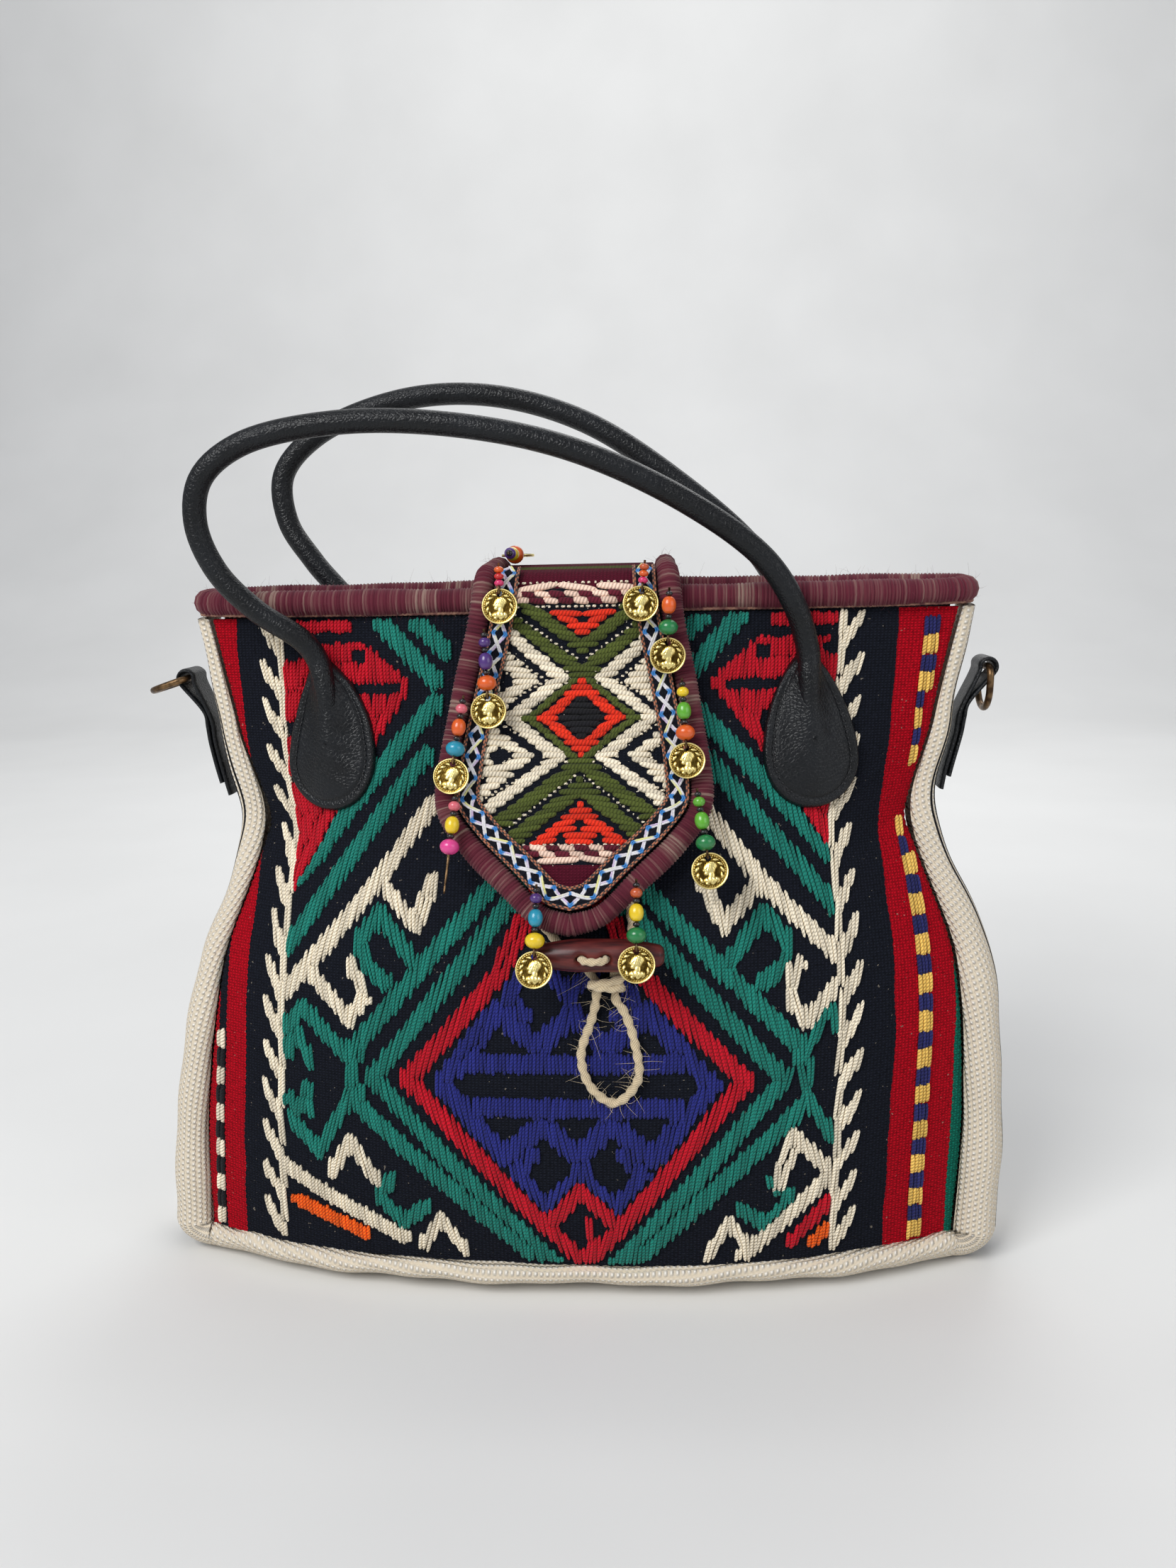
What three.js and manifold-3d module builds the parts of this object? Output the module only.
// A soft woven tote bag with a bound rim, a shield-shaped flap hung with bead strings and coins,
// two rolled leather handles on teardrop pads, and a strap ring on each side.
// Millimetres, +Z up. The bag stands on z = 0 and its front looks along -Y.
import * as THREE from "three";
import { mergeVertices } from "three/addons/utils/BufferGeometryUtils.js";
import Module from "manifold-3d";

const wasm = await Module();
wasm.setup();

// Bag body
const SEAM_HEIGHT = 15.4; // bottom seams above the floor
const FRONT_TOP = 311.2; // upper edge of the front panel, just under the rim
const BACK_TOP = 312.4; // the back stands a little taller
const CLOTH = 4; // thickness of the woven panels
const WEB = 3; // thickness of the gusset
const LINING = 1; // thickness of the lining cloth
const SEAM_GAP = 0.5; // clearance between a panel's seam line and the gusset
const SEAM_ALLOWANCE = 2; // width of panel turned in along each side seam
const FOOT_ALLOWANCE = 1; // and along the bottom seam
const ROLL_POWER = 2.6; // how late a panel's surface turns back towards its seams
const SIDE_LEAN = 6; // the rim has sunk this far to the right of the base
const FIT_GAP = 0.4; // clearance between pieces that lie on each other

// Rim
const RIM_RADIUS = 6;
const RIM_REACH = 178; // half length of the rim's loop
const RIM_MIDDLE = 13; // depth of the loop's middle line
const RIM_HALF_DEPTH = 16;
const RIM_HEIGHT = 319;
const RIM_RISE = 1.2; // the back of the rim stands this much over the middle, the front under it

// Flap
const FLAP_CLOTH = 4;
const BINDING_RADIUS = 5;
const BRAID_WIDTH = 10;
const BRAID_CLOTH = 1.4;
const FLAP_TIP_HEIGHT = 179;
const FLAP_STANDOFF = 9; // flap's middle surface ahead of the front panel's middle surface
const TIP_LIFT = 4.4; // the loop cord under the tip lifts it by this much more
const TIP_LIFT_END = 222; // above this height the flap lies even on the panel
const FLAP_FRONT_TOP = 292; // where the flap leaves the panel to climb over the rim
const FLAP_BACK_HEIGHTS = [302, 292, 284]; // and where it runs down the back to its sewn end
const BRAID_SHARE = 0.64; // share of the flap's length that the braid edges

// Handles, pads and side rings
const HANDLE_RADIUS = 5.3;
const HANDLE_PIVOT_HEIGHT = 290;
const HANDLE_STANDOFF = 7; // handle's root ahead of the panel's outer face
const SOCKET_RADIUS = 7.8; // hollow in the pad around the handle's round end
const PAD_RADIUS = 20.5; // round lower end of the teardrop
const PAD_NECK = 7.5; // half width where the teardrop meets the handle
const PAD_CENTRE_HEIGHT = 245.5;
const PAD_TOP = 288;
const PAD_EDGE = 2.4; // leather thickness at the stitched border
const PAD_GAP = 1; // stitched down on the pile of the weave
const TAB_WIDTH = 18;
const TAB_LEATHER = 2;
const TAB_LOW_END = 226;
const RING_HEIGHT = 283; // ring's straight bar above the floor
const RING_STANDOFF = 12; // bar outside the gusset
const RING_WIRE = 1.6;
const RING_HALF_WIDTH = 11.6;
const RING_DROP = 19.5;
const LEFT_RING_LIFT = THREE.MathUtils.degToRad(72); // the left ring sticks out of its stiff tab

// Toggle and loop cord
const TOGGLE_LENGTH = 57;
const TOGGLE_RADIUS = 7.2;
const TOGGLE_END_RADIUS = 5.6;
const TOGGLE_AT = new THREE.Vector3(13, -63.4, 167); // before the bag's lean
const TIE_SPREAD = 5.4; // each hole from the middle of the pair
const TIE_SHIFT = -2; // the pair of holes sits left of the toggle's middle
const TIE_RADIUS = 1.7;
const TIE_HOLE = 2.4;
const CORD_RADIUS = 2;

// Bead strings
const STRING_RADIUS = 0.6;
const COIN_RADIUS = 7.9;
const COIN_THICKNESS = 1.1;
const COIN_HOLE = 1.3;
const COIN_HOLE_INSET = 2.3;
const LINK_RADIUS = 1.9; // wire ring from the string's end through the coin's hole
const LINK_WIRE = 0.5;
const STRING_STANDOFF = 10.6; // string's axis ahead of the flap's middle surface

// A smooth value over height, with Catmull-Rom slopes through a few [height, value] knots.
function through(...knots) {
  const last = knots.length - 1;
  const slope = knots.map((_, i) => {
    const [h0, v0] = knots[Math.max(i - 1, 0)];
    const [h1, v1] = knots[Math.min(i + 1, last)];
    return (v1 - v0) / (h1 - h0);
  });
  return (height) => {
    const h = THREE.MathUtils.clamp(height, knots[0][0], knots[last][0]);
    const i = Math.max(knots.findIndex(([knot]) => knot >= h), 1);
    const [h0, v0] = knots[i - 1];
    const [h1, v1] = knots[i];
    const span = h1 - h0;
    const t = (h - h0) / span;
    const start = (1 + 2 * t) * v0 + t * span * slope[i - 1];
    const end = (3 - 2 * t) * v1 - (1 - t) * span * slope[i];
    return (1 - t) * (1 - t) * start + t * t * end;
  };
}

// Body profile over height: half width at the seams, and depth at the middle and at the seams.
const halfWidth = through([15, 181], [80, 181], [150, 172], [214, 151], [262, 164], [311, 176]);
const frontMiddle = through(
  [15, -56],
  [60, -60],
  [120, -56],
  [180, -45],
  [225, -30],
  [270, -15],
  [311, -4],
);
const frontSeam = through([15, -22], [90, -22], [150, -16], [214, 4], [260, 5], [311, 6]);
const backMiddle = through([15, 50], [100, 52], [200, 44], [314, 30]);
const backSeam = through([15, 34], [90, 34], [150, 30], [214, 20], [260, 18], [314, 20]);
const gussetBulge = through([15, 21], [80, 19], [150, 14], [190, 9.6], [214, 8], [262, 7], [311, 5]);
const BASE_BULGE = 15.5; // under the base the web would hang lower than the floor, which flattens it

const lean = (z) => (SIDE_LEAN * z) / RIM_HEIGHT;
const leaned = (x, y, z) => new THREE.Vector3(x + lean(z), y, z);
const rolled = (middle, seam, u) => middle + (seam - middle) * Math.abs(u) ** ROLL_POWER;
const frontDepth = (x, z) => rolled(frontMiddle(z), frontSeam(z), x / halfWidth(z));
const backDepth = (x, z) => rolled(backMiddle(z), backSeam(z), x / halfWidth(z));

// Evenly spaced numbers from a to b, both included.
const spread = (a, b, steps) => Array.from({ length: steps + 1 }, (_, i) => a + ((b - a) * i) / steps);

// A geometry of positions and triangles, turned inside out if its faces point inwards.
function closedGeometry(positions, index) {
  const corner = (i) => new THREE.Vector3().fromArray(positions, index[i] * 3);
  let volume = 0;
  for (let i = 0; i < index.length; i += 3) {
    volume += corner(i).dot(corner(i + 1).cross(corner(i + 2)));
  }
  const outward = volume < 0 ? index.slice().reverse() : index;
  const geometry = new THREE.BufferGeometry();
  geometry.setAttribute("position", new THREE.Float32BufferAttribute(positions, 3));
  geometry.setIndex(outward);
  return geometry;
}

// A closed slab between two grids of points of the same size.
function slab(upper, lower) {
  const rows = upper.length;
  const columns = upper[0].length;
  const positions = [upper, lower].flat(2).flatMap((point) => point.toArray());
  const top = (i, j) => i * columns + j;
  const bottom = (i, j) => rows * columns + top(i, j);
  const index = [];
  const quad = (a, b, c, d) => index.push(a, b, c, a, c, d);
  for (let i = 0; i + 1 < rows; i++) {
    for (let j = 0; j + 1 < columns; j++) {
      quad(top(i, j), top(i, j + 1), top(i + 1, j + 1), top(i + 1, j));
      quad(bottom(i, j), bottom(i + 1, j), bottom(i + 1, j + 1), bottom(i, j + 1));
    }
  }
  for (let j = 0; j + 1 < columns; j++) {
    quad(top(0, j), bottom(0, j), bottom(0, j + 1), top(0, j + 1));
    quad(top(rows - 1, j + 1), bottom(rows - 1, j + 1), bottom(rows - 1, j), top(rows - 1, j));
  }
  for (let i = 0; i + 1 < rows; i++) {
    quad(top(i + 1, 0), bottom(i + 1, 0), bottom(i, 0), top(i, 0));
    quad(top(i, columns - 1), bottom(i, columns - 1), bottom(i + 1, columns - 1), top(i + 1, columns - 1));
  }
  return closedGeometry(positions, index);
}

// Unit normals of a grid of points, from the differences of its neighbours.
function gridNormals(points) {
  const rows = points.length;
  const columns = points[0].length;
  return points.map((row, i) =>
    row.map((_, j) => {
      const along = points[Math.min(i + 1, rows - 1)][j].clone().sub(points[Math.max(i - 1, 0)][j]);
      const across = row[Math.min(j + 1, columns - 1)].clone().sub(row[Math.max(j - 1, 0)]);
      return across.cross(along).normalize();
    }),
  );
}

// A closed sheet of even thickness about a grid of points on its middle surface.
function sheet(points, thickness) {
  const normals = gridNormals(points);
  const moved = (distance) =>
    points.map((row, i) => row.map((p, j) => p.clone().addScaledVector(normals[i][j], distance)));
  return slab(moved(thickness / 2), moved(-thickness / 2));
}

const polygon = (radius, sides) =>
  spread(0, 2 * Math.PI, sides)
    .slice(0, -1)
    .map((angle) => new THREE.Vector2(radius * Math.cos(angle), radius * Math.sin(angle)));

// A round tube with closed ends along a smooth curve through the points.
function cordTube(points, radius, steps, sides = 8) {
  return new THREE.ExtrudeGeometry(new THREE.Shape(polygon(radius, sides)), {
    extrudePath: new THREE.CatmullRomCurve3(points, false, "centripetal"),
    steps,
  });
}

function solidOf(geometry) {
  const bare = geometry.index ? geometry.toNonIndexed() : geometry.clone();
  bare.deleteAttribute("normal");
  bare.deleteAttribute("uv");
  const merged = mergeVertices(bare, 1e-3);
  const vertProperties = merged.attributes.position.array;
  const triVerts = new Uint32Array(merged.index.array);
  return new wasm.Manifold(new wasm.Mesh({ numProp: 3, vertProperties, triVerts }));
}

function geometryOf(solid) {
  const { vertProperties, triVerts } = solid.getMesh();
  const geometry = new THREE.BufferGeometry();
  geometry.setAttribute("position", new THREE.Float32BufferAttribute(vertProperties, 3));
  geometry.setIndex(Array.from(triVerts));
  return geometry;
}

const cut = (body, ...tools) =>
  geometryOf(tools.reduce((left, tool) => left.subtract(solidOf(tool)), solidOf(body)));
const join = (body, ...others) =>
  geometryOf(others.reduce((sum, other) => sum.add(solidOf(other)), solidOf(body)));

const material = (color, roughness, metalness = 0) =>
  new THREE.MeshStandardMaterial({ color, roughness, metalness });
const WOVEN = material(0x15171d, 0.95);
const WEB_CLOTH = material(0xe2d6bb, 0.95);
const RIM_WOOL = material(0x5c2a38, 1);
const LINING_COTTON = material(0x1d1d20, 0.9);
const FLAP_WEAVE = material(0x9a2f28, 0.95);
const FLAP_WOOL = material(0x55202b, 1);
const BRAID = material(0x2c3347, 0.8);
const LEATHER = material(0x1c2024, 0.55);
const ANTIQUE_BRASS = material(0x5f4b37, 0.45, 0.9);
const TOGGLE_WOOD = material(0x5f231e, 0.4);
const JUTE = material(0xd7c8aa, 0.95);
const BEADS = material(0xb5602c, 0.35);
const COIN_METAL = material(0xc8a032, 0.35, 0.9);

const bag = new THREE.Group();

function addPiece(name, geometry, skin, parent = bag) {
  const mesh = new THREE.Mesh(geometry, skin);
  mesh.name = name;
  parent.add(mesh);
  return mesh;
}

// Front and back panels: woven cloth, bellied at the foot and turned back at the pinched waist.
function panel(depth, top, columns, rows) {
  const points = spread(SEAM_HEIGHT + FOOT_ALLOWANCE, top, rows).map((z) => {
    const reach = halfWidth(z) - SEAM_ALLOWANCE;
    return spread(-reach, reach, columns).map((x) => leaned(x, depth(x, z), z));
  });
  return sheet(points, CLOTH);
}
addPiece("front_panel", panel(frontDepth, FRONT_TOP, 16, 12), WOVEN);
addPiece("back_panel", panel(backDepth, BACK_TOP, 12, 8), WOVEN);

// Gusset: one strip of thick web down one side, under the base and up the other side.
function gussetStations() {
  const stations = [];
  const add = (frontPoint, backPoint, normal, bulge) => {
    stations.push({ frontPoint, backPoint, normal, bulge });
  };
  const seamPair = (x, v) => {
    const front = THREE.MathUtils.lerp(SEAM_HEIGHT, FRONT_TOP, v);
    const back = THREE.MathUtils.lerp(SEAM_HEIGHT, BACK_TOP, v);
    const reach = (z) => x * halfWidth(z);
    return [
      leaned(reach(front), frontDepth(reach(front), front), front),
      leaned(reach(back), backDepth(reach(back), back), back),
    ];
  };
  const sideStations = (side, values) =>
    values.forEach((v) => {
      const z = THREE.MathUtils.lerp(SEAM_HEIGHT, FRONT_TOP, v);
      add(...seamPair(side, v), new THREE.Vector3(side, 0, 0), gussetBulge(z));
    });
  const cornerStations = (side, turns) =>
    turns.forEach((turn) => {
      const normal = new THREE.Vector3(side * Math.cos(turn), 0, -Math.sin(turn));
      const bulge = THREE.MathUtils.lerp(gussetBulge(SEAM_HEIGHT), BASE_BULGE, Math.sin(turn));
      add(...seamPair(side, 0), normal, bulge);
    });
  const quarter = [1, 2, 3, 4].map((step) => (step * Math.PI) / 8);
  sideStations(1, spread(1, 0, 11));
  cornerStations(1, quarter);
  spread(1, -1, 14)
    .slice(1, -1)
    .forEach((u) => add(...seamPair(u, 0), new THREE.Vector3(0, 0, -1), BASE_BULGE));
  cornerStations(-1, quarter.slice().reverse());
  sideStations(-1, spread(0, 1, 11));
  return stations;
}

// Across its width the web leaves each seam square and rounds over, by a superellipse.
function gussetRow({ frontPoint, backPoint, normal, bulge }) {
  const squareness = 0.7;
  return spread(-Math.PI / 2, Math.PI / 2, 6).map((angle) => {
    const across = Math.sign(angle) * Math.abs(Math.sin(angle)) ** squareness;
    const out = SEAM_GAP + bulge * Math.abs(Math.cos(angle)) ** squareness;
    const point = frontPoint.clone().lerp(backPoint, (across + 1) / 2).addScaledVector(normal, out);
    point.z = Math.max(point.z, WEB / 2);
    return point;
  });
}
addPiece("gusset", sheet(gussetStations().map(gussetRow), WEB), WEB_CLOTH);

// Rim: a wool-wrapped roll round the mouth, a long flat loop.
function rimLoop() {
  const squareness = 0.5;
  const power = (value) => Math.sign(value) * Math.abs(value) ** squareness;
  const points = spread(0, 2 * Math.PI, 48)
    .slice(0, -1)
    .map((angle) =>
      leaned(
        RIM_REACH * power(Math.cos(angle)),
        RIM_MIDDLE + RIM_HALF_DEPTH * power(Math.sin(angle)),
        RIM_HEIGHT + RIM_RISE * Math.sin(angle),
      ),
    );
  return new THREE.CatmullRomCurve3(points, true, "centripetal");
}
addPiece("rim_binding", new THREE.TubeGeometry(rimLoop(), 44, RIM_RADIUS, 8, true), RIM_WOOL);

// Lining: a thin cloth pouch that follows the body inside, open at the top.
function liningGeometry() {
  const sides = 20;
  const squareness = 0.75;
  const reachShare = 0.93;
  const clear = CLOTH / 2 + 3;
  const [low, high] = [12, 306];
  const ring = (z, inset) =>
    spread(0, 2 * Math.PI, sides)
      .slice(0, -1)
      .map((angle) => {
        const across = Math.sign(Math.cos(angle)) * Math.abs(Math.cos(angle)) ** squareness;
        const deep = Math.sign(Math.sin(angle)) * Math.abs(Math.sin(angle)) ** squareness;
        const reach = reachShare * halfWidth(z) - inset;
        const x = reach * across;
        const [front, back] = [frontDepth(x, z), backDepth(x, z)];
        return leaned(x, (front + back) / 2 + ((back - front) / 2 - clear - inset) * deep, z);
      });
  const heights = spread(low, high, 7);
  const outer = heights.map((z) => ring(z, 0));
  const inner = heights.map((z, i) => ring(i ? z : low + LINING, LINING));
  const rings = [...outer, ...inner.reverse()];
  const positions = rings.flat().flatMap((p) => p.toArray());
  const middle = (z) => leaned(0, (frontMiddle(z) + backMiddle(z)) / 2, z).toArray();
  positions.push(...middle(low), ...middle(low + LINING));
  const outerFoot = rings.length * sides;
  const innerFoot = outerFoot + 1;
  const lastRing = (rings.length - 1) * sides;
  const index = [];
  for (let j = 0; j < sides; j++) {
    const next = (j + 1) % sides;
    for (let i = 0; i + 1 < rings.length; i++) {
      const [a, b] = [i * sides, (i + 1) * sides];
      index.push(a + j, a + next, b + next, a + j, b + next, b + j);
    }
    index.push(outerFoot, next, j);
    index.push(innerFoot, lastRing + j, lastRing + next);
  }
  return closedGeometry(positions, index);
}
addPiece("lining", liningGeometry(), LINING_COTTON);

// The flap's middle line in side view: up the front, over both sides of the rim, down the back.
function flapLine() {
  const standoff = through(
    [FLAP_TIP_HEIGHT, FLAP_STANDOFF + TIP_LIFT],
    [TIP_LIFT_END, FLAP_STANDOFF],
    [FRONT_TOP, FLAP_STANDOFF],
  );
  const front = spread(FLAP_TIP_HEIGHT, FLAP_FRONT_TOP, 6).map((z) => [frontMiddle(z) - standoff(z), z]);
  const round = RIM_RADIUS + BINDING_RADIUS + 1;
  const overRim = (side, angles) =>
    angles.map((degrees) => {
      const angle = THREE.MathUtils.degToRad(degrees);
      return [
        RIM_MIDDLE + side * RIM_HALF_DEPTH + round * Math.cos(angle),
        RIM_HEIGHT + side * RIM_RISE + round * Math.sin(angle),
      ];
    });
  const back = FLAP_BACK_HEIGHTS.map((z) => [backMiddle(z) + FLAP_STANDOFF, z]);
  const path = [...front, ...overRim(-1, [175, 145, 115, 90]), ...overRim(1, [90, 60, 30, 5]), ...back];
  const points = path.map(([y, z]) => new THREE.Vector3(0, y, z));
  return new THREE.CatmullRomCurve3(points, false, "centripetal");
}
const FLAP_LINE = flapLine();
const FLAP_LENGTH = FLAP_LINE.getLength();

// A point over the flap: across from its middle, along from its tip, and lifted off its face.
function onFlap(across, along, lift = 0) {
  const t = THREE.MathUtils.clamp(along / FLAP_LENGTH, 0, 1);
  const point = FLAP_LINE.getPointAt(t);
  const tangent = FLAP_LINE.getTangentAt(t);
  const y = point.y - lift * tangent.z;
  const z = point.z + lift * tangent.y;
  return leaned(across, y, z);
}

// The binding's line on the flat flap: [across, along] down one edge to the pointed tip, then mirrored.
const FLAP_EDGE = new THREE.SplineCurve(
  [
    [0, 0],
    [13, 4],
    [29, 19],
    [46, 36],
    [56.5, 52],
    [56, 74],
    [50, 108],
    [42, 150],
    [40, 200],
    [40, FLAP_LENGTH],
  ].map(([across, along]) => new THREE.Vector2(across, along)),
);

// Points along the flap's right edge from tip to back, moved inwards by a distance.
function flapEdge(inset, steps) {
  return spread(0, 1, steps).map((t) => {
    const point = FLAP_EDGE.getPointAt(t);
    const tangent = t === 0 ? new THREE.Vector2(1, 0) : FLAP_EDGE.getTangentAt(t);
    const across = Math.max(point.x - inset * tangent.y, 0);
    return new THREE.Vector2(across, point.y + inset * tangent.x);
  });
}
const mirrored = (edge) => edge.map((p) => new THREE.Vector2(-p.x, p.y));
const bothEdges = (edge) => [...mirrored(edge.slice(1)).reverse(), ...edge];

function flapPanel() {
  const edge = flapEdge(BINDING_RADIUS + 2 * FIT_GAP, 24).filter((p) => p.x > 3);
  const points = edge.map(({ x, y }) => spread(-x, x, 4).map((across) => onFlap(across, y)));
  return sheet(points, FLAP_CLOTH);
}
addPiece("flap_panel", flapPanel(), FLAP_WEAVE);

const bindingLine = bothEdges(flapEdge(0, 26)).map(({ x, y }) => onFlap(x, y));
addPiece("flap_binding", cordTube(bindingLine, BINDING_RADIUS, 46), FLAP_WOOL);

// Braid: a flat ribbon just inside the binding on the flap's outer face.
function braidGeometry() {
  const start = BINDING_RADIUS + 2 * FIT_GAP;
  const lift = FLAP_CLOTH / 2 + 2 * FIT_GAP + BRAID_CLOTH / 2;
  const reach = (p) => p.y < FLAP_LENGTH * BRAID_SHARE;
  const rows = spread(start, start + BRAID_WIDTH, 1).map((inset) => flapEdge(inset, 26));
  const stations = rows[0].map((_, i) => rows.map((row) => row[i])).filter(([outer]) => reach(outer));
  const right = stations.map((row) => row.map(({ x, y }) => onFlap(x, y, lift)));
  const left = stations.slice(1).map((row) => row.map(({ x, y }) => onFlap(-x, y, lift)));
  return sheet([...left.reverse(), ...right], BRAID_CLOTH);
}
addPiece("flap_braid", braidGeometry(), BRAID);

// A point on the outer face of the front (-1) or back (1) panel, lifted off it along its normal.
function onPanel(facing, x, z, lift) {
  const depth = facing < 0 ? frontDepth : backDepth;
  const step = 0.5;
  const slopeX = (depth(x + step, z) - depth(x - step, z)) / (2 * step);
  const slopeZ = (depth(x, z + step) - depth(x, z - step)) / (2 * step);
  const normal = new THREE.Vector3(-slopeX, 1, -slopeZ).normalize().multiplyScalar(facing);
  return leaned(x, depth(x, z), z).addScaledVector(normal, CLOTH / 2 + lift);
}

// Handles: rolled leather with round ends, leaning to the left; the roots turn in the pads' sockets.
const HANDLES = [
  {
    name: "front",
    facing: -1,
    roots: [-113, 103.5],
    arch: [
      [-126, -15.5, 302],
      [-146, -18, 316],
      [-162.5, -20, 334],
      [-170, -22, 355],
      [-166, -24, 374],
      [-148, -25, 388],
      [-105, -25, 396.5],
      [-50, -25, 394],
      [0, -24, 382.5],
      [50, -22, 359],
      [84, -20, 334],
      [98, -17.5, 313],
    ],
  },
  {
    name: "back",
    facing: 1,
    roots: [-110, 102],
    arch: [
      [-115, 40.5, 312],
      [-135, 43, 337],
      [-148, 45, 357],
      [-149.5, 46, 379.5],
      [-132, 47, 398.5],
      [-90, 48, 414],
      [-46, 48, 415],
      [0, 47, 401.5],
      [47, 45, 371],
      [84, 43, 338],
      [98, 41, 314],
    ],
  },
];

// Both ends of a handle turn about one line, so they share its depth.
function handleRoots({ facing, roots }) {
  const depths = roots.map((x) => onPanel(facing, x, HANDLE_PIVOT_HEIGHT, HANDLE_STANDOFF).y);
  const depth = facing < 0 ? Math.min(...depths) : Math.max(...depths);
  return roots.map((x) => leaned(x, depth, HANDLE_PIVOT_HEIGHT));
}

function ball(radius, centre) {
  return new THREE.SphereGeometry(radius, 8, 5).translate(centre.x, centre.y, centre.z);
}

function handleGeometry(handle) {
  const [left, right] = handleRoots(handle);
  const arch = handle.arch.map(([x, y, z]) => leaned(x, y, z));
  const tube = cordTube([left, ...arch, right], HANDLE_RADIUS, 28);
  return join(tube, ball(HANDLE_RADIUS, left), ball(HANDLE_RADIUS, right));
}

// Half width of a teardrop pad: a half round below, then an even taper to the handle's neck.
function padHalfWidth(z) {
  const up = z - PAD_CENTRE_HEIGHT;
  if (up < 0) return Math.sqrt(PAD_RADIUS ** 2 - up ** 2);
  const share = up / (PAD_TOP - PAD_CENTRE_HEIGHT);
  return PAD_NECK + (PAD_RADIUS - PAD_NECK) * (0.5 + 0.5 * Math.cos(Math.PI * share));
}

function padGeometry(facing, x, root) {
  const foot = PAD_CENTRE_HEIGHT - PAD_RADIUS + 0.4;
  const ridge = through([foot, 0.8], [PAD_CENTRE_HEIGHT, 2.6], [276, 4], [PAD_TOP, 4]);
  const grid = (liftAt) =>
    spread(0, 1, 9).map((t) => {
      const z = foot + (PAD_TOP - foot) * t ** 1.3;
      return spread(-1, 1, 6).map((across) => {
        const offset = across * padHalfWidth(z);
        return onPanel(facing, x + offset, z, liftAt(offset, z));
      });
    });
  const domed = (offset, z) => PAD_GAP + PAD_EDGE + ridge(z) * Math.exp(-((offset / PAD_NECK) ** 2));
  return cut(slab(grid(domed), grid(() => PAD_GAP)), ball(SOCKET_RADIUS, root));
}

HANDLES.forEach((handle) => {
  addPiece(handle.name + "_handle", handleGeometry(handle), LEATHER);
  const roots = handleRoots(handle);
  ["left", "right"].forEach((side, i) => {
    const geometry = padGeometry(handle.facing, handle.roots[i], roots[i]);
    addPiece(`${handle.name}_${side}_pad`, geometry, LEATHER);
  });
});

// Side fittings: a folded leather tab on the gusset holds the straight bar of a strap ring.
const gussetFace = (z) => halfWidth(z) + SEAM_GAP + gussetBulge(z) + WEB / 2;
const sidePoint = (side, out, z) => leaned(side * (gussetFace(z) + out), RIM_MIDDLE, z);
const ringBar = (side) => sidePoint(side, RING_STANDOFF, RING_HEIGHT);

function tabGeometry(side) {
  const inner = FIT_GAP + 0.9 + TAB_LEATHER / 2;
  const outer = inner + TAB_LEATHER + FIT_GAP;
  const loop = RING_WIRE + 1.3 + TAB_LEATHER / 2;
  const rise = spread(TAB_LOW_END, 262, 4).map((z) => sidePoint(side, inner, z));
  const fall = spread(260, TAB_LOW_END + 6, 4).map((z) => sidePoint(side, outer, z));
  const bar = ringBar(side);
  const fold = [200, 150, 110, 70, 30, -10, -45].map((degrees) => {
    const angle = THREE.MathUtils.degToRad(degrees);
    const x = bar.x + side * loop * Math.cos(angle);
    return new THREE.Vector3(x, RIM_MIDDLE, bar.z + loop * Math.sin(angle));
  });
  const neck = sidePoint(side, outer + 2.4, 266);
  const strap = new THREE.CatmullRomCurve3([...rise, ...fold, neck, ...fall], false, "centripetal");
  const rows = strap.getSpacedPoints(34).map((p) =>
    [-1, 1].map((edge) => new THREE.Vector3(p.x, p.y + (edge * TAB_WIDTH) / 2, p.z)),
  );
  return sheet(rows, TAB_LEATHER);
}

// A D of round wire about its bar: square shoulders, then a half round.
function ringGeometry() {
  const shoulder = 2.6;
  const straight = RING_DROP - RING_HALF_WIDTH;
  const arc = spread(0, Math.PI, 8).map((angle) => [
    RING_HALF_WIDTH * Math.cos(angle),
    -straight - RING_HALF_WIDTH * Math.sin(angle),
  ]);
  const bar = [-1, 0, 1].map((end) => [end * (RING_HALF_WIDTH - shoulder), 0]);
  const outline = [...bar, [RING_HALF_WIDTH, -shoulder], ...arc, [-RING_HALF_WIDTH, -shoulder]];
  const points = outline.map(([y, z]) => new THREE.Vector3(0, y, z));
  const loop = new THREE.CatmullRomCurve3(points, true, "centripetal");
  return new THREE.TubeGeometry(loop, 30, RING_WIRE, 6, true);
}

[
  ["left", -1, LEFT_RING_LIFT],
  ["right", 1, 0],
].forEach(([name, side, lift]) => {
  addPiece(name + "_ring_tab", tabGeometry(side), LEATHER);
  const ring = addPiece(name + "_strap_ring", ringGeometry(), ANTIQUE_BRASS);
  ring.position.copy(ringBar(side));
  ring.rotation.y = lift;
});

// Toggle: a turned wooden barrel across the front, with two holes for its tie.
function toggleGeometry() {
  const half = TOGGLE_LENGTH / 2;
  const profile = [
    [0, -half],
    [TOGGLE_END_RADIUS * 0.7, -half],
    [TOGGLE_END_RADIUS, -half + 1.6],
    [TOGGLE_RADIUS, -half * 0.35],
    [TOGGLE_RADIUS, half * 0.35],
    [TOGGLE_END_RADIUS, half - 1.6],
    [TOGGLE_END_RADIUS * 0.7, half],
    [0, half],
  ].map(([radius, along]) => new THREE.Vector2(radius, along));
  const barrel = new THREE.LatheGeometry(profile, 16).rotateZ(-Math.PI / 2);
  const hole = (side) => {
    const drill = new THREE.CylinderGeometry(TIE_HOLE, TIE_HOLE, 4 * TOGGLE_RADIUS, 10);
    return drill.translate(TIE_SHIFT + side * TIE_SPREAD, 0, 0);
  };
  return cut(barrel, hole(-1), hole(1));
}

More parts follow.
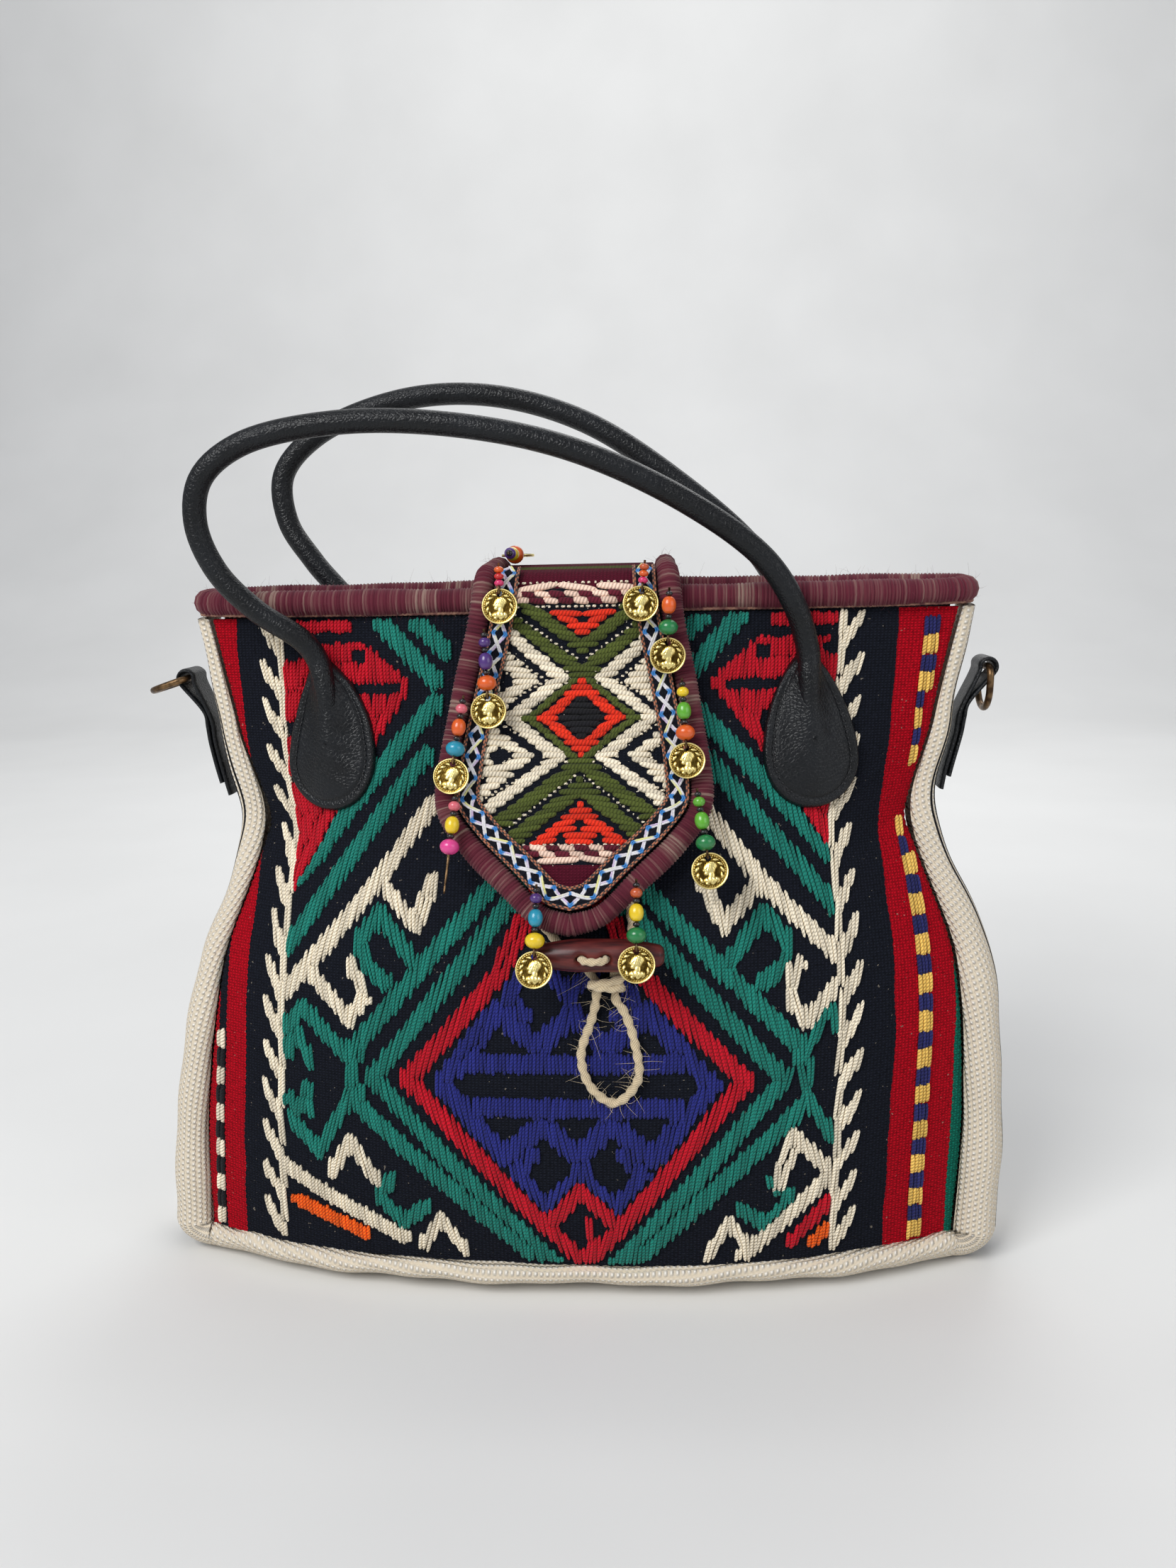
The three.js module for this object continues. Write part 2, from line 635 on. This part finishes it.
// Tie: a jute stitch from the front panel through both holes.
function tieGeometry() {
  const back = -TOGGLE_AT.y + onPanel(-1, TOGGLE_AT.x, TOGGLE_AT.z, FIT_GAP + 0.3).y;
  const front = -TOGGLE_RADIUS - TIE_RADIUS - 1.2;
  const leg = (side, y) => new THREE.Vector3(TIE_SHIFT + side * TIE_SPREAD, y, 0);
  const bend = new THREE.Vector3(TIE_SHIFT, front, 0);
  const shoulder = front * 0.72;
  const rise = [leg(-1, back), leg(-1, 0), leg(-1, shoulder)];
  const fall = [leg(1, shoulder), leg(1, 0), leg(1, back)];
  return cordTube([...rise, bend, ...fall], TIE_RADIUS, 20, 8);
}
const toggle = new THREE.Group();
toggle.position.copy(leaned(...TOGGLE_AT));
bag.add(toggle);
addPiece("toggle", toggleGeometry(), TOGGLE_WOOD, toggle);
addPiece("toggle_tie", tieGeometry(), JUTE, toggle);

// Loop cord: two strands from under the flap's tip pass behind the toggle to a knot, and a loop hangs below.
const cordAt = (x, z) => onPanel(-1, x, z, FIT_GAP + CORD_RADIUS);
const cordRoute = (route) => route.map(([x, z]) => cordAt(x, z));
const KNOT_AT = [16, 151];
const KNOT_RADII = new THREE.Vector3(9, 5.6, 6);

const KNOT_CLEARANCE = 1.08; // the cords end short of the knot by this growth of it

function knotGeometry(grown = 1) {
  const centre = onPanel(-1, ...KNOT_AT, FIT_GAP + KNOT_RADII.y);
  const [x, y, z] = KNOT_RADII.clone().multiplyScalar(grown);
  return new THREE.SphereGeometry(1, 12, 8).scale(x, y, z).translate(centre.x, centre.y, centre.z);
}
const LOOP_CORD = {
  loop_cord_left: [
    [-17, 189],
    [-16, 182],
    [-11, 174],
    [-3, 166],
    [6, 158.5],
  ],
  loop_cord_right: [
    [24, 192],
    [26, 182],
    [27, 172],
    [26.5, 163],
    [23.5, 158],
  ],
  loop_cord_pull: [
    [11.5, 144.2],
    [9.5, 135],
    [5, 119],
    [9.5, 105],
    [20, 98],
    [30, 108],
    [28.5, 125],
    [24, 138],
    [20, 144.2],
  ],
};
addPiece("loop_cord_knot", knotGeometry(), JUTE);
Object.entries(LOOP_CORD).forEach(([name, route]) => {
  const tube = cordTube(cordRoute(route), CORD_RADIUS, 2 * route.length);
  addPiece(name, cut(tube, knotGeometry(KNOT_CLEARANCE)), JUTE);
});

// Bead strings: each bead is [radius, height], threaded from the top with seed beads between.
const SEED = [1.6, 2.3];
const SMALL = [2.7, 4.5];
const TINY = [2.2, 3];
const OVAL = [3.2, 7.8];
const ROUND = [4.3, 7];
const LONG_STRING = [SEED, SMALL, SEED, OVAL, SEED, ROUND];
const MIDDLE_STRING = [SEED, OVAL, SEED, ROUND];
const SHORT_STRING = [TINY, TINY, TINY];
const PIN_LENGTH = 17; // bare pin left on the string whose coin is lost
const STRING_SPAN = 36; // a string lies along the face over about this height
const FRONT_SHARE = 0.66; // share of the flap's length that is on its front and top

// Place of each string's top: across and height on the flap, sideways swing in degrees, and its beads.
const STRINGS = [
  { across: -34, height: 326, swing: 1, beads: SHORT_STRING, coin: true },
  { across: -40, height: 304, swing: 3, beads: LONG_STRING, coin: true },
  { across: -49, height: 273, swing: -8, beads: LONG_STRING, coin: true },
  { across: -51, height: 231, swing: -5, beads: LONG_STRING, coin: false },
  { across: -14, height: 193, swing: -1, beads: LONG_STRING, coin: true },
  { across: 29, height: 195, swing: 0, beads: LONG_STRING, coin: true },
  { across: 55, height: 232, swing: 8, beads: LONG_STRING, coin: true },
  { across: 48, height: 279, swing: 3, beads: LONG_STRING, coin: true },
  { across: 42, height: 319, swing: -2, beads: MIDDLE_STRING, coin: true },
  { across: 31, height: 326, swing: -6, beads: SHORT_STRING, coin: true },
];

function stringGeometry(beads, withCoin) {
  const profile = [new THREE.Vector2(0, 0), new THREE.Vector2(STRING_RADIUS, 0)];
  let z = 0;
  beads.forEach(([radius, height]) => {
    const shares = radius < 2 ? [0.5] : [0.27, 0.73];
    shares.forEach((share) => profile.push(new THREE.Vector2(radius, z - height * share)));
    z -= height;
    profile.push(new THREE.Vector2(STRING_RADIUS, z));
  });
  if (!withCoin) {
    z -= PIN_LENGTH;
    profile.push(new THREE.Vector2(STRING_RADIUS, z));
  }
  profile.push(new THREE.Vector2(0, z));
  const string = new THREE.LatheGeometry(profile.reverse(), 6).rotateX(Math.PI / 2);
  if (!withCoin) return { string, end: z };
  const link = new THREE.TorusGeometry(LINK_RADIUS, LINK_WIRE, 4, 8).rotateY(Math.PI / 2);
  link.translate(0, 0, z - LINK_RADIUS + LINK_WIRE);
  return { string: join(string, link), end: z - 2 * LINK_RADIUS + LINK_WIRE };
}

// A struck coin: a thin disc with a raised border on both faces and a hole near its top.
function coinGeometry() {
  const [rim, field] = [COIN_THICKNESS / 2, COIN_THICKNESS / 2 - 0.2];
  const border = COIN_RADIUS - 0.8;
  const profile = [
    [0, -field],
    [border, -field],
    [COIN_RADIUS, -rim],
    [COIN_RADIUS, rim],
    [border, field],
    [0, field],
  ].map(([radius, along]) => new THREE.Vector2(radius, along));
  const hole = new THREE.CylinderGeometry(COIN_HOLE, COIN_HOLE, 4, 8);
  hole.translate(0, 0, COIN_RADIUS - COIN_HOLE_INSET);
  return cut(new THREE.LatheGeometry(profile, 14), hole);
}

function addString(number, { beads, coin }, place) {
  const label = String(number).padStart(2, "0");
  const { string, end } = stringGeometry(beads, coin);
  addPiece("bead_string_" + label, string, BEADS, place);
  if (!coin) return;
  const disc = addPiece("coin_" + label, coinGeometry(), COIN_METAL, place);
  disc.position.z = end - (COIN_RADIUS - COIN_HOLE_INSET);
}

// Distance along the flap's front face at a height, by halving.
function alongAt(height) {
  let [low, high] = [0, FLAP_LENGTH * FRONT_SHARE];
  for (let i = 0; i < 30; i++) {
    const middle = (low + high) / 2;
    if (onFlap(0, middle).z < height) low = middle;
    else high = middle;
  }
  return low;
}

// A string hangs along the face under its top, turned by the face's slope and its own swing.
STRINGS.forEach((string, i) => {
  const place = new THREE.Group();
  const top = onFlap(string.across, alongAt(string.height), STRING_STANDOFF);
  const lowEnd = Math.max(string.height - STRING_SPAN, FLAP_TIP_HEIGHT);
  const under = onFlap(string.across, alongAt(lowEnd), STRING_STANDOFF);
  place.position.copy(top);
  place.rotation.x = -Math.atan2(top.y - under.y, top.z - under.z);
  place.rotation.y = THREE.MathUtils.degToRad(-string.swing);
  bag.add(place);
  addString(i + 1, string, place);
});

// The last string is thrown back over the fold and lies on top of the flap.
const thrown = new THREE.Group();
thrown.position.copy(leaned(-31, -6, RIM_HEIGHT + RIM_RISE + 19));
thrown.rotation.x = THREE.MathUtils.degToRad(88);
bag.add(thrown);
addString(STRINGS.length + 1, { beads: LONG_STRING, coin: true }, thrown);

export default bag;
